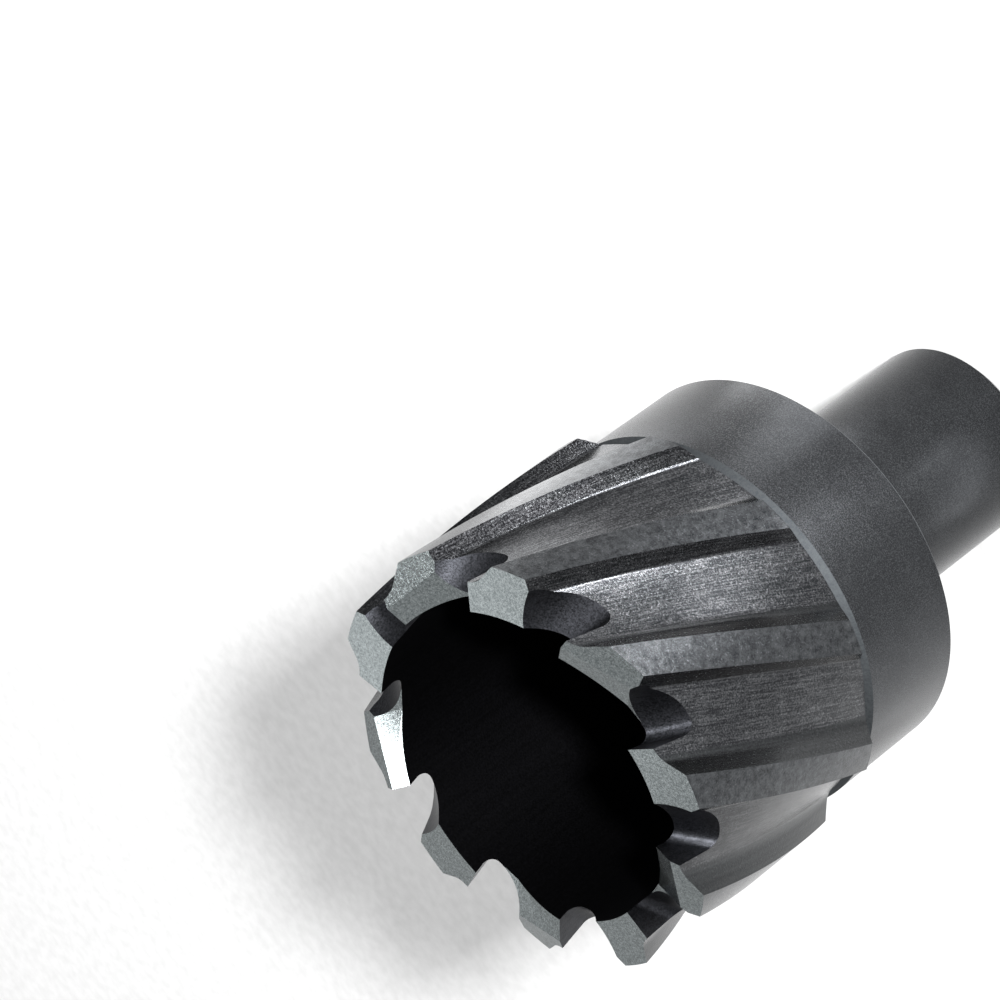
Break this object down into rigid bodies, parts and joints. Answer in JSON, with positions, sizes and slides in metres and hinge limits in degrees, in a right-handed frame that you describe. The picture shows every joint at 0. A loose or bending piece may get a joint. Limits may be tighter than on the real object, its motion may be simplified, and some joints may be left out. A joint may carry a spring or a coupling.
{
  "type": "annular cutter",
  "caption": "Hollow fluted hole cutter in blackened tool steel, with a ring of ground teeth, a collar and a round clamping shank.",
  "frame": {"origin": "centre of the shank's end face", "axes": "+Z along the axis towards the teeth, +X three degrees ahead of the inner corner of a ridged tooth, -Y towards the camera, clamping flats at the back"},
  "size_m": [0.0412, 0.0412, 0.0645],
  "materials": {
    "black_oxide_steel": "satin black oxide on milled tool steel",
    "ground_steel": "ground bare tool steel on the tooth ends"
  },
  "bodies": {
    "root": {"cutter": "black_oxide_steel"}
  },
  "joints": []
}
